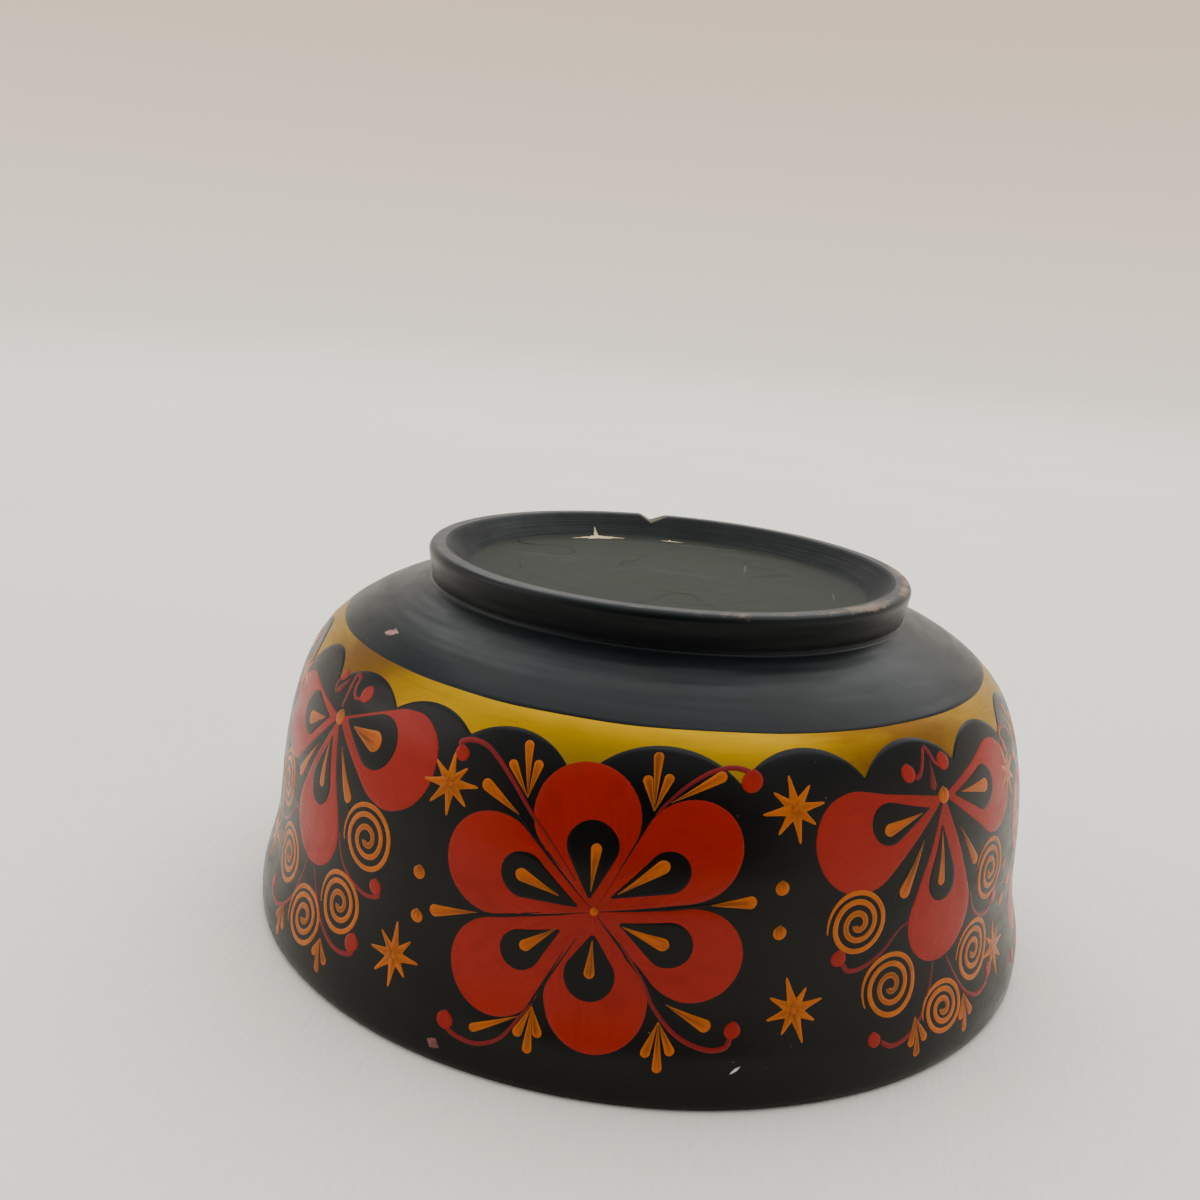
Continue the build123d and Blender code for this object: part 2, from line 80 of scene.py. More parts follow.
class Section:
    """A turned outline of arcs and straight runs, as samples of (radius, height, heading) along it."""

    STEP = 0.25

    def __init__(self, radius, height, heading):
        self.samples = [(radius, height, radians(heading))]
        self.paths = [0.0]

    def run(self, radius, amount):
        """Adds a run: a length where radius is STRAIGHT, else a turn in degrees, plus to the left."""
        r, z, heading = self.samples[-1]
        turn = 0.0 if radius == STRAIGHT else radians(amount)
        length = amount if radius == STRAIGHT else radius * abs(turn)
        side = copysign(radius, turn)
        count = max(2, ceil(length / self.STEP))
        start = self.paths[-1]
        for index in range(1, count + 1):
            share = index / count
            if turn:
                now = heading + turn * share
                sample = (
                    r + side * (sin(now) - sin(heading)),
                    z + side * (cos(heading) - cos(now)),
                    now,
                )
            else:
                sample = (r + cos(heading) * length * share, z + sin(heading) * length * share, heading)
            self.samples.append(sample)
            self.paths.append(start + length * share)
        return self

    def straight_to(self, height):
        """Adds a straight run up or down to a height."""
        r, z, heading = self.samples[-1]
        return self.run(STRAIGHT, (height - z) / sin(heading))

    @property
    def length(self):
        return self.paths[-1]

    def at(self, path):
        """Radius, height and the normal's two parts at a distance along the outline."""
        path = min(max(path, 0.0), self.length)
        index = min(bisect_right(self.paths, path), len(self.paths) - 1)
        share = (path - self.paths[index - 1]) / (self.paths[index] - self.paths[index - 1])
        before, after = self.samples[index - 1], self.samples[index]
        r, z, heading = (a + (b - a) * share for a, b in zip(before, after))
        return r, z, sin(heading), -cos(heading)


outside = Section(RIM_LAND_OUT, -FINISH, 0).run(RIM_ROUND, LIP_TURN)
for run in WALL_RUNS:
    outside.run(*run)
BAND_TOP = outside.length                # path up to where the gold band ends
for run in UNDERSIDE_RUNS:
    outside.run(*run)
FOOT_CREASE = outside.length
outside.straight_to(FOOT_TOP - FOOT_ROUND * (1 + sin(radians(FOOT_FLARE))))
outside.run(FOOT_ROUND, 90 + FOOT_FLARE)
FOOT_CROWN = outside.length
outside.run(STRAIGHT, FOOT_LAND).run(FOOT_ROUND, RECESS_SLOPE)
outside.straight_to(RECESS_FLOOR + RECESS_COVE * (1 - cos(radians(RECESS_SLOPE))))
outside.run(RECESS_COVE, -RECESS_SLOPE)
RECESS_EDGE = outside.length
outside.run(STRAIGHT, outside.samples[-1][0])

hollow = Section(RIM_LAND_IN, -FINISH, 180).run(RIM_ROUND_IN, -HOLLOW_LIP_TURN)
for run in HOLLOW_RUNS:
    hollow.run(*run)
hollow.run(hollow.samples[-1][0] / sin(radians(DISH_TURN)), DISH_TURN)

LIP_PATH = 1.8           # path from which heights up the wall are counted
RIM_CUT = 1.51           # path at which the coats meet the floor
GOLD_DEPTH = 0.035       # the gold shows this far under the black coats' surface
LINING_DEPTH = 0.15

WAVE = 0.05              # how far the hand-turned, hand-lacquered surface waves
WAVE_SCALE = 45.0        # waves per metre


def place(section, turn, path, lift):
    """A point of the surface, in metres: turn in radians, path along the section, lift off the surface."""
    r, z, normal_r, normal_z = section.at(path)
    wave = WAVE * noise.noise(Vector((r * sin(turn), r * cos(turn), z)) * MM * WAVE_SCALE)
    lift += wave
    r = max(r + normal_r * lift, 0.0)
    return Vector((r * sin(turn), -r * cos(turn), z + normal_z * lift)) * MM


# ------------------------ shaders


class Shader:
    """A Principled material, and short ways to add the nodes that feed it."""

    def __init__(self, name, **values):
        self.material = bpy.data.materials.new(name)
        self.material.use_nodes = True
        self.tree = self.material.node_tree
        self.surface = self.tree.nodes["Principled BSDF"]
        for socket, value in values.items():
            self.surface.inputs[socket.replace("_", " ")].default_value = value

    def node(self, kind, **inputs):
        made = self.tree.nodes.new(kind)
        for name, value in inputs.items():
            self.feed(made.inputs[name], value)
        return made

    def feed(self, socket, value):
        """Links a socket to another, or sets its value."""
        if isinstance(value, bpy.types.NodeSocket):
            self.tree.links.new(value, socket)
        else:
            socket.default_value = value

    def attribute(self, name):
        made = self.node("ShaderNodeAttribute")
        made.attribute_name = name
        return made

    def stretched(self, vector, scale, shift=(0, 0, 0)):
        made = self.node("ShaderNodeMapping", Vector=vector)
        made.inputs["Scale"].default_value = scale
        made.inputs["Location"].default_value = shift
        return made.outputs["Vector"]

    def noise(self, vector, scale, detail=3.0, roughness=0.5):
        made = self.node(
            "ShaderNodeTexNoise", Vector=vector, Scale=scale, Detail=detail, Roughness=roughness
        )
        return made.outputs["Fac"]

    def cells(self, vector, scale):
        made = self.node("ShaderNodeTexVoronoi", Vector=vector, Scale=scale)
        return made.outputs["Distance"]

    def span(self, value, low, high, to_low=0.0, to_high=1.0):
        """The value carried from one span to another and held inside it."""
        made = self.node("ShaderNodeMapRange", Value=value)
        for name, number in zip(("From Min", "From Max", "To Min", "To Max"), (low, high, to_low, to_high)):
            made.inputs[name].default_value = number
        return made.outputs["Result"]

    def maths(self, operation, a, b=0.0):
        made = self.node("ShaderNodeMath")
        made.operation = operation
        self.feed(made.inputs[0], a)
        self.feed(made.inputs[1], b)
        return made.outputs["Value"]

    def mix(self, factor, a, b):
        """Colour a where the factor is 0 and b where it is 1."""
        made = self.node("ShaderNodeMix")
        made.data_type = "RGBA"
        sockets = {s.identifier: s for s in made.inputs}
        self.feed(sockets["Factor_Float"], factor)
        self.feed(sockets["A_Color"], a)
        self.feed(sockets["B_Color"], b)
        return next(s for s in made.outputs if s.identifier == "Result_Color")

    def bump(self, height, distance, strength=1.0):
        made = self.node("ShaderNodeBump", Height=height)
        made.inputs["Distance"].default_value = distance
        made.inputs["Strength"].default_value = strength
        self.feed(self.surface.inputs["Normal"], made.outputs["Normal"])

    def colour(self, socket):
        self.feed(self.surface.inputs["Base Color"], socket)

    def roughness(self, socket):
        self.feed(self.surface.inputs["Roughness"], socket)


def rgba(red, green, blue):
    return (red, green, blue, 1.0)


LACQUER_IOR = 1.23
PAINT_SHEEN = (0.21, 0.35)   # roughness of the oil paint, where it is thick and where it is thin


def black_lacquer(name, base, sheen_low, sheen_high):
    """Black oil paint under lacquer: wiping smears in the gloss, fine dust and hairline scratches."""
    look = Shader(name, IOR=LACQUER_IOR)
    ring = look.attribute("ring").outputs["Vector"]
    where = look.node("ShaderNodeTexCoord").outputs["Object"]
    smear = look.noise(look.stretched(ring, (3.0, 3.0, 1.2)), 2.2, 4, 0.6)
    cloud = look.noise(where, 60.0, 4)
    dust = look.span(look.cells(where, 420.0), 0.055, 0.03)
    dust = look.maths("MULTIPLY", dust, look.span(look.noise(where, 38.0, 2), 0.56, 0.62))
    tone = look.mix(look.span(cloud, 0.35, 0.7), base, tuple(c * 1.6 for c in base[:3]) + (1.0,))
    look.colour(look.mix(look.maths("MULTIPLY", dust, 0.5), tone, rgba(0.30, 0.29, 0.26)))
    look.roughness(look.span(smear, 0.35, 0.68, sheen_low, sheen_high))
    look.bump(look.noise(where, 55.0, 2), 0.0004, 0.35)
    return look


def foot_lacquer():
    """The same black on shoulder, ring and sunk disc: duller in the disc, rubbed brown on the crown."""
    # The same black paint, with its base tinted blue-grey: a painted reflection of the bluish room in the
    # shoulder's gloss.
    look = black_lacquer("black foot lacquer", rgba(0.0034, 0.0044, 0.0048), 0.31, 0.39)
    ring = look.attribute("ring").outputs["Vector"]
    where = look.node("ShaderNodeTexCoord").outputs["Object"]
    wear = look.attribute("wear").outputs["Fac"]
    disc = look.attribute("disc").outputs["Fac"]
    clean = look.surface.inputs["Base Color"].links[0].from_socket
    gloss = look.surface.inputs["Roughness"].links[0].from_socket

    rings = look.noise(look.stretched(ring, (1.0, 1.0, 45.0)), 1.0, 4, 0.7)
    blotch = look.noise(where, 75.0, 5, 0.65)
    disc_tone = look.mix(
        look.span(blotch, 0.36, 0.66), rgba(0.010, 0.0115, 0.0065), rgba(0.026, 0.028, 0.017)
    )
    disc_tone = look.mix(look.span(rings, 0.58, 0.75, 0, 0.4), disc_tone, rgba(0.050, 0.050, 0.040))
    coat = look.mix(disc, clean, disc_tone)
    inner = look.attribute("inner").outputs["Fac"]
    wall_inside = look.maths("SUBTRACT", inner, disc)
    grooved = look.maths("MULTIPLY", wall_inside, look.span(rings, 0.52, 0.7, 0, 0.6))
    coat = look.mix(grooved, coat, rgba(0.040, 0.040, 0.033))

    scratch_way = look.stretched(where, (26.0, 900.0, 26.0), (0.3, 0.1, 0.2))
    scratches = look.span(look.noise(scratch_way, 1.0, 2, 0.4), 0.70, 0.74)
    crossing = look.stretched(where, (700.0, 34.0, 34.0), (0.5, 0.7, 0.1))
    scratches = look.maths("MAXIMUM", scratches, look.span(look.noise(crossing, 1.0, 2, 0.4), 0.72, 0.76))
    scratches = look.maths("MULTIPLY", scratches, look.maths("ADD", look.maths("MULTIPLY", disc, 0.9), 0.1))
    lines = look.maths("ABSOLUTE", look.maths("SUBTRACT", look.noise(where, 32.0, 1), 0.5))
    in_places = look.span(look.noise(where, 50.0, 1), 0.5, 0.54)
    hairlines = look.maths("MULTIPLY", look.span(lines, 0.004, 0.002), in_places)
    hairlines = look.maths("MULTIPLY", look.maths("MULTIPLY", hairlines, disc), 0.8)
    coat = look.mix(hairlines, coat, rgba(0.004, 0.004, 0.003))
    coat = look.mix(look.maths("MULTIPLY", scratches, 0.35), coat, rgba(0.12, 0.12, 0.10))

    rub = look.span(look.maths("ADD", wear, look.span(look.noise(where, 260.0, 5, 0.7), 0.3, 0.7)), 1.12, 1.4)
    rub_tone = look.mix(look.span(blotch, 0.4, 0.62), rgba(0.075, 0.042, 0.022), rgba(0.17, 0.105, 0.06))
    look.colour(look.mix(rub, coat, rub_tone))
    matt = look.span(blotch, 0.3, 0.7, 0.60, 0.80)
    dull = look.maths("MULTIPLY", look.maths("MAXIMUM", disc, look.maths("MULTIPLY", inner, 0.85)), matt)
    look.roughness(look.maths("MAXIMUM", gloss, dull))
    long_swell = look.noise(look.stretched(ring, (1.1, 1.1, 1.7)), 1.6, 1)
    swell = look.maths("ADD", look.noise(where, 45.0, 1), long_swell)
    grooves = look.maths("MULTIPLY", rings, look.maths("ADD", look.maths("MULTIPLY", inner, 0.16), 0.003))
    dents = look.maths("SUBTRACT", look.maths("ADD", grooves, swell), look.maths("MULTIPLY", scratches, 0.08))
    look.bump(look.maths("SUBTRACT", dents, look.maths("MULTIPLY", rub, 0.08)), 0.0006, 0.45)
    return look


def gold_ground(name, bright, deep, shade):
    """Metallised ground under amber lacquer, brushed on round the bowl, from yellow to brown."""
    look = Shader(name, IOR=LACQUER_IOR, Metallic=0.85)
    ring = look.attribute("ring").outputs["Vector"]
    amber = look.attribute("amber").outputs["Fac"]
    where = look.node("ShaderNodeTexCoord").outputs["Object"]
    patches = look.noise(look.stretched(ring, (2.6, 2.6, 0.9), (0.4, 0.2, 0)), 1.3, 4, 0.55)
    streaks = look.noise(look.stretched(ring, (5.0, 5.0, 7.0)), 1.5, 4, 0.6)
    depth = look.maths("ADD", amber, look.span(patches, 0.35, 0.65, -0.25, 0.3))
    tone = look.mix(look.span(depth, 0.2, 0.95), bright, deep)
    tone = look.mix(look.span(streaks, 0.55, 0.8, 0, 0.4), tone, shade)
    specks = look.span(look.cells(where, 330.0), 0.07, 0.04)
    specks = look.maths("MULTIPLY", specks, look.span(look.noise(where, 45.0, 2), 0.5, 0.6))
    look.colour(look.mix(look.maths("MULTIPLY", specks, 0.6), tone, rgba(0.14, 0.05, 0.004)))
    look.roughness(look.span(streaks, 0.3, 0.75, 0.36, 0.5))
    look.bump(streaks, 0.00003, 0.3)
    return look


def brushed(name, full, thin, edge):
    """Oil paint from a small brush: streaks along the stroke, thinner and darker at its tail."""
    look = Shader(name, IOR=LACQUER_IOR)
    brush = look.attribute("brush").outputs["Vector"]
    load = look.attribute("load").outputs["Fac"]
    rim = look.attribute("rim").outputs["Fac"]
    where = look.node("ShaderNodeTexCoord").outputs["Object"]
    hairs = look.noise(look.stretched(brush, (0.8, 14.0, 3.0)), 1.0, 3, 0.6)
    pools = look.noise(look.stretched(brush, (1.6, 3.0, 5.0)), 1.0, 3, 0.5)
    cover = look.maths("ADD", look.maths("MULTIPLY", load, 0.75), look.span(hairs, 0.3, 0.7, 0, 0.55))
    tone = look.mix(look.span(cover, 0.15, 0.7), thin, full)
    tone = look.mix(look.span(pools, 0.5, 0.72, 0, 0.6), tone, thin)
    tone = look.mix(look.maths("MULTIPLY", rim, 0.5), tone, edge)
    grime = look.noise(where, 140.0, 4)
    look.colour(look.mix(look.span(grime, 0.55, 0.8, 0, 0.25), tone, thin))
    look.roughness(look.span(pools, 0.3, 0.7, *PAINT_SHEEN))
    look.bump(hairs, 0.00003, 0.5)
    return look


def raw_wood(name, light, dark):
    """Linden where the finish has gone: fine straight grain across the bowl."""
    look = Shader(name, Roughness=0.75)
    where = look.node("ShaderNodeTexCoord").outputs["Object"]
    grain = look.noise(look.stretched(where, (60.0, 900.0, 260.0)), 1.0, 4, 0.6)
    pores = look.noise(where, 1400.0, 2)
    look.colour(look.mix(look.span(grain, 0.35, 0.65), light, dark))
    look.bump(look.maths("ADD", grain, look.maths("MULTIPLY", pores, 0.4)), 0.00008, 0.6)
    return look


def clay(name, light, dark):
    """Matt primer: a fine grainy clay."""
    look = Shader(name, Roughness=0.85)
    where = look.node("ShaderNodeTexCoord").outputs["Object"]
    grains = look.noise(where, 700.0, 4, 0.7)
    look.colour(look.mix(look.span(grains, 0.35, 0.65), light, dark))
    look.bump(grains, 0.00005, 0.5)
    return look


BLACK = black_lacquer("black wall lacquer", rgba(0.0042, 0.0038, 0.0032), 0.22, 0.36).material
FOOT_BLACK = foot_lacquer().material
HEART_BLACK = black_lacquer("black heart lacquer", rgba(0.0036, 0.0033, 0.0028), 0.24, 0.36).material
GOLD = gold_ground(
    "gold ground", rgba(0.345, 0.186, 0.0), rgba(0.16, 0.065, 0.0), rgba(0.20, 0.082, 0.0)
).material
LINING = gold_ground(
    "gold lining", rgba(0.42, 0.24, 0.0), rgba(0.30, 0.15, 0.0), rgba(0.25, 0.105, 0.0)
).material
RED = brushed(
    "red paint", rgba(0.29, 0.0105, 0.004), rgba(0.215, 0.008, 0.003), rgba(0.25, 0.013, 0.007)
).material
DARK_RED = brushed(
    "dark red paint", rgba(0.20, 0.010, 0.010), rgba(0.10, 0.008, 0.009), rgba(0.15, 0.010, 0.011)
).material
OCHRE = brushed(
    "ochre paint", rgba(0.44, 0.088, 0.001), rgba(0.105, 0.028, 0.002), rgba(0.46, 0.13, 0.004)
).material
WOOD = raw_wood("linden wood", rgba(0.10, 0.072, 0.026), rgba(0.022, 0.015, 0.008)).material
PALE_WOOD = raw_wood("chipped linden", rgba(0.62, 0.47, 0.26), rgba(0.42, 0.28, 0.12)).material
PRIMER = clay("clay primer", rgba(0.065, 0.040, 0.022), rgba(0.03, 0.018, 0.011)).material
PRIMER_PINK = clay("bared primer", rgba(0.14, 0.035, 0.032), rgba(0.40, 0.22, 0.19)).material
PRIMER_RED = clay("bared red primer", rgba(0.11, 0.018, 0.018), rgba(0.22, 0.085, 0.075)).material
LIME = clay("lime fleck", rgba(0.66, 0.66, 0.62), rgba(0.40, 0.40, 0.37)).material


# ------------------------ meshes


def piece(name, points, faces, materials, nodes, attributes, face_slots=()):
    """A smooth-shaded piece on the bowl's body, standing for some CAD nodes."""
    mesh = bpy.data.meshes.new(name)
    mesh.from_pydata(points, [], faces)
    for key, (kind, values) in attributes.items():
        layer = mesh.attributes.new(key, kind, "POINT")
        field = "vector" if kind == "FLOAT_VECTOR" else "value"
        flat = [number for value in values for number in value] if field == "vector" else values
        layer.data.foreach_set(field, flat)
    for entry in materials:
        mesh.materials.append(entry)
    if face_slots:
        mesh.polygons.foreach_set("material_index", face_slots)
    mesh.shade_smooth()
    mesh.update()
    made = bpy.data.objects.new(name, mesh)
    bpy.context.scene.collection.objects.link(made)
    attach(made, "root")
    if nodes:
        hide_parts(*nodes)
    return made


def turned_skin(
    name, section, rows, columns, material, node, inward=False, closed=False, shape=None
):
    """A coat turned about the axis. Each row is a function of the angle that gives (path, lift). Shape may
    move a point, and gives values for the shader."""
    points, ring, extra = [], [], {}
    for row in rows:
        for column in range(columns):
            turn = 2 * pi * column / columns
            path, lift = row(turn)
            point = place(section, turn, path, lift)
            if shape:
                for key, value in shape(point, turn, path).items():
                    extra.setdefault(key, []).append(value)
            points.append(point)
            ring.append((sin(turn), cos(turn), path / 10))
    faces = []
    for row in range(len(rows) - 1):
        for column in range(columns):
            after = (column + 1) % columns
            low, high = row * columns, (row + 1) * columns
            quad = (low + column, low + after, high + after, high + column)
            faces.append(quad[::-1] if inward else quad)
    if closed:
        centre = len(points)
        last = (len(rows) - 1) * columns
        points.append(Vector((0, 0, points[last].z)))
        ring.append((0, 0, section.length / 10))
        for values in extra.values():
            values.append(values[last])
        for column in range(columns):
            corner = (last + column, last + (column + 1) % columns, centre)
            faces.append(corner[::-1] if inward else corner)
    attributes = {"ring": ("FLOAT_VECTOR", ring)}
    attributes.update({key: ("FLOAT", values) for key, values in extra.items()})
    return piece(name, points, faces, [material], [node], attributes)


def level(path, lift=0.0):
    """A row at one path and lift all the way round."""
    return lambda turn: (path, lift)


def steps(start, end, size):
    """Numbers from start to end, both included, no further apart than size."""
    count = max(1, ceil((end - start) / size))
    return [start + (end - start) * index / count for index in range(count + 1)]


# ------------------------ black wall field with its scallops

SCALLOP_ROOT = 46.0
# Scallops round the top of the black wall field: (degrees round from the front, how far up the wall from the
# rim the arch's top is, the arch's radius). They are the CAD's.
SCALLOPS = (
    (7.1, 56.3, 14.1), (25.9, 56.8, 11.7), (43.5, 56.8, 11.8), (60.6, 56.4, 11.8), (78.0, 56.5, 11.7),
    (95.2, 56.3, 11.9), (113.1, 56.6, 11.9), (130.4, 56.4, 11.6), (147.6, 56.7, 11.8), (165.3, 56.3, 11.9),
    (182.6, 56.5, 11.7), (200.1, 56.6, 11.8), (217.4, 56.3, 11.6), (235.0, 56.5, 11.9), (252.1, 56.7, 11.7),
    (269.6, 56.4, 11.9), (286.7, 56.5, 11.6), (303.2, 56.6, 8.4), (318.3, 56.4, 12.4), (332.9, 55.9, 11.3),
    (346.5, 55.6, 11.0),
)
SCALLOP_RADIUS = 64.5    # the wall's radius where the arches are
EDGE = 0.15              # width over which a coat's edge runs out
COLUMNS_ROUND = 1080     # of the wall and the gold band
LINING_COLUMNS = 540
FOOT_COLUMNS = 900


def scallop(turn):
    """How far along the outline the black goes at an angle, which is the highest of the arches there."""
    reach = SCALLOP_ROOT
    for angle, top, arch in SCALLOPS:
        off = radians((turn * 180 / pi - angle + 180) % 360 - 180) * SCALLOP_RADIUS
        if abs(off) < arch:
            reach = max(reach, top - arch + sqrt(arch * arch - off * off))
    return LIP_PATH + reach


def toward_scallop(share, lift=0.0, past=0.0):
    """A row at a share of the way from the scallops' root to their edge."""
    return lambda turn: (SCALLOP_ROOT + (scallop(turn) - SCALLOP_ROOT) * share + past, lift)


wall_rows = [level(RIM_CUT, -0.6), level(RIM_CUT, -0.02)]
wall_rows += [level(path) for path in steps(RIM_CUT + 0.1, SCALLOP_ROOT, 0.75)]
wall_rows += [toward_scallop(share) for share in steps(0.08, 1.0, 0.09)]
wall_rows.append(toward_scallop(1.0, -GOLD_DEPTH - 0.04, EDGE))
turned_skin(
    "wall_black", outside, wall_rows, COLUMNS_ROUND, BLACK, "black_wall_field"
)

# ------------------------ gold ground and lining

AMBER_SPREAD = 3.0       # the band is brown over the half flowers, and yellow over the full ones


def amber_shape(point, turn, path):
    """How brown the gold ground is: browner between the full flowers, yellow over them, four times round."""
    between = (0.5 - 0.5 * cos(4 * turn)) ** AMBER_SPREAD
    return {"amber": between + 0.35 * noise.noise(point / MM * 0.03)}


gold_rows = [level(path, -GOLD_DEPTH) for path in steps(SCALLOP_ROOT, BAND_TOP + 1.5, 0.6)]
turned_skin(
    "band_gold", outside, gold_rows, COLUMNS_ROUND, GOLD, "gold_ground", shape=amber_shape
)

lining_rows = [level(path, LINING_DEPTH) for path in steps(RIM_CUT, hollow.length - 0.5, 0.8)]
turned_skin(
    "hollow_gold", hollow, lining_rows, LINING_COLUMNS, LINING, "gold_lining",
    inward=True, closed=True,
)

# ------------------------ black foot coat: shoulder, ring and sunk disc

WORN_SIDE = 62.0         # the ring's crown is rubbed most about this angle
BAND_WANDER = 0.18       # how far the brush strayed along the edge of the gold band


def foot_edge(lift, past):
    """A row along the gold band's edge, which a hand drew."""
    def row(turn):
        stray = BAND_WANDER * noise.noise(Vector((sin(turn), cos(turn), 0.3)) * 5.0)
        return BAND_TOP + stray + past, lift
    return row


def foot_shape(point, turn, path):
    """Cuts the notch into the ring, and tells the wear on its crown, its inner side and the sunk disc."""
    off = (turn * 180 / pi - NOTCH_AT + 180) % 360 - 180
    across = radians(off) * point.xy.length / MM
    lowest = NOTCH_WIDTH * NOTCH_SKEW
    side = across - lowest
    reach = NOTCH_WIDTH / 2 - lowest if side > 0 else NOTCH_WIDTH / 2 + lowest
    ceiling = FOOT_TOP - NOTCH_DEPTH * max(0.0, 1 - abs(side) / reach)
    over = point.z / MM - ceiling
    if path > FOOT_CREASE and abs(side) < reach and over > 0:
        point.z -= (over + min(0.15, over / 2)) * MM
    on_crown = max(0.0, 1 - abs(path - FOOT_CROWN) / 2.6) if path < FOOT_CROWN + 3 else 0.0
    facing = 0.5 + 0.5 * cos(turn - radians(WORN_SIDE))
    return {
        "wear": on_crown * (0.25 + 0.75 * facing**3),
        "disc": 1.0 if path > RECESS_EDGE - 1.2 else 0.0,
        "inner": 1.0 if path > FOOT_CROWN + FOOT_LAND else 0.0,
    }


foot_rows = [foot_edge(-GOLD_DEPTH - 0.04, -EDGE), foot_edge(0.0, 0.0)]
foot_rows += [level(path) for path in steps(BAND_TOP + 0.6, FOOT_CREASE - 1.2, 0.8)]
foot_rows += [level(path) for path in steps(FOOT_CREASE - 1.0, RECESS_EDGE, 0.3)]
foot_rows += [level(path) for path in steps(RECESS_EDGE + 0.4, outside.length - 0.6, 2.0)]
turned_skin(
    "foot_black", outside, foot_rows, FOOT_COLUMNS, FOOT_BLACK, "black_foot_coat",
    closed=True, shape=foot_shape,
)

# ------------------------ brush strokes

SINK = 0.006             # a stroke's edge runs this far under the surface that it lies on
RED_LIFT = 0.014
GAP_LIFT = 0.024
HEART_LIFT = 0.026
TENDRIL_LIFT = 0.032
BLOB_LIFT = 0.038
OCHRE_LIFT = 0.044
DOT_LIFT = 0.052
LAYER_STEP = 0.001       # each stroke lies this much over the one before


class Painting:
    """Strokes about one place on the bowl, in one mesh. Charts are in millimetres, x right and y up."""

    def __init__(self, angle, up, seed, loose=0.0, lip=LIP_PATH):
        self.turn = radians(angle)
        self.up = up + lip
        self.chance = random.Random(seed)
        self.loose = loose
        self.points, self.faces, self.slots = [], [], []
        self.brush, self.load, self.rim = [], [], []
        self.count = 0

    def nudged(self, point):
        """A point moved a little, as a hand would when it draws the flower again."""
        return Vector(point) + Vector((self.chance.uniform(-1, 1), self.chance.uniform(-1, 1))) * self.loose

    def stroke(self, spine, widths, lift, slot=0, across=5):
        """A band of paint along a spine, with its half width at each of the spine's points."""
        base, seed = len(self.points), self.chance.random() * 9
        lift += self.count % 8 * LAYER_STEP
        self.count += 1
        ends = len(spine) - 1
        travelled = 0.0
        for index, (spot, width) in enumerate(zip(spine, widths)):
            ahead = spine[min(index + 1, ends)] - spine[max(index - 1, 0)]
            side = Vector((ahead.y, -ahead.x)).normalized()
            if index:
                travelled += (spot - spine[index - 1]).length
            inner = 1 - min(0.12, width * 0.35) / max(width, 0.01)
            shares = [-1.0] + [inner * (2 * k / (across - 1) - 1) for k in range(across)] + [1.0]
            for share in shares:
                spot_here = spot + side * width * share
                border = abs(share) == 1.0 or index in (0, ends)
                path = self.up + spot_here.y
                turn = self.turn + spot_here.x / outside.at(path)[0]
                self.points.append(place(outside, turn, path, -SINK if border else lift))
                self.brush.append((travelled / 10, width * share / 10, seed))
                self.load.append(index / ends)
                self.rim.append(1.0 if border or abs(share) > inner * 0.99 else 0.0)
        row = across + 2
        for index in range(ends):
            for k in range(row - 1):
                start = base + index * row + k
                self.faces.append((start, start + 1, start + row + 1, start + row))
                self.slots.append(slot)

    def drop(self, tip, head, radius, lift, slot=0, across=5, wander=0.05):
        """A stroke with a round head, drawn out to a fine tip."""
        tip, head = self.nudged(tip), self.nudged(head)
        length = (head - tip).length
        way = (head - tip) / length
        touch = asin(min(0.99, radius / length))
        straight = length * cos(touch) ** 2
        stations = [(part, part * sin(touch) / cos(touch)) for part in steps(0.0, straight, 0.9)[:-1]]
        for swing in steps(-touch, pi / 2, 0.16):
            stations.append((length + radius * sin(swing), radius * cos(swing)))
        phase = self.chance.random() * 20
        spine = [tip + way * along for along, width in stations]
        widths = [
            max(width, 0.05) * (1 + wander * noise.noise(Vector((along * 0.35, phase, 0))))
            for along, width in stations
        ]
        self.stroke(spine, widths, lift, slot, across)

    def line(self, route, start_width, end_width, lift):
        """A thin line through some points, on a smooth curve."""
        route = [self.nudged(point) if index else Vector(point) for index, point in enumerate(route)]
        padded = [route[0] * 2 - route[1]] + route + [route[-1] * 2 - route[-2]]
        spine = []
        for a, b, c, d in zip(padded, padded[1:], padded[2:], padded[3:]):
            count = max(3, ceil((c - b).length / 0.6))
            for index in range(count):
                t = index / count
                squared = (a * 2 - b * 5 + c * 4 - d) * t**2
                cubed = (b * 3 - a - c * 3 + d) * t**3
                spine.append((b * 2 + (c - a) * t + squared + cubed) / 2)
        spine.append(route[-1])
        last = len(spine) - 1
        widths = [start_width + (end_width - start_width) * index / last for index in range(last + 1)]
        self.stroke(spine, widths, lift, across=3)

    def spiral(self, centre, size, lift, squash):
        """A coil from the middle outwards, thick where the brush was set down."""
        centre = self.nudged(centre)
        phase = self.chance.uniform(2.2, 3.4)
        spine, widths = [], []
        for t in steps(0.04, 1.0, 0.008):
            swing = phase + 2 * pi * SPIRAL_TURNS * t
            reach = size * (0.04 + 0.96 * t**0.92) * (1 + 0.03 * sin(swing * 0.5))
            spine.append(centre + Vector((cos(swing) * squash, sin(swing))) * reach)
            widths.append((0.52 - 0.10 * t) * min(1.0, 0.3 + 9 * (1 - t)))
        self.stroke(spine, widths, lift, across=3)

    def dot(self, centre, radius, lift, slot=0):
        """A round touch of the brush."""
        centre = self.nudged(centre)
        self.drop(centre + Vector((0.0, radius * 1.15)), centre, radius, lift, slot, 5, 0.12)

    def star(self, centre, lift, lean):
        """Eight short strokes out from one place."""
        centre = self.nudged(centre)
        for index, reach in enumerate(STAR_ARMS):
            way = Vector((cos(radians(45 * index + lean)), sin(radians(45 * index + lean))))
            reach *= self.chance.uniform(0.9, 1.08)
            spine = [centre + way * reach * t for t in STAR_REACHES]
            self.stroke(spine, STAR_WIDTHS, lift, across=3)
        self.dot(centre, STAR_CORE, lift - STAR_CORE_SINK)

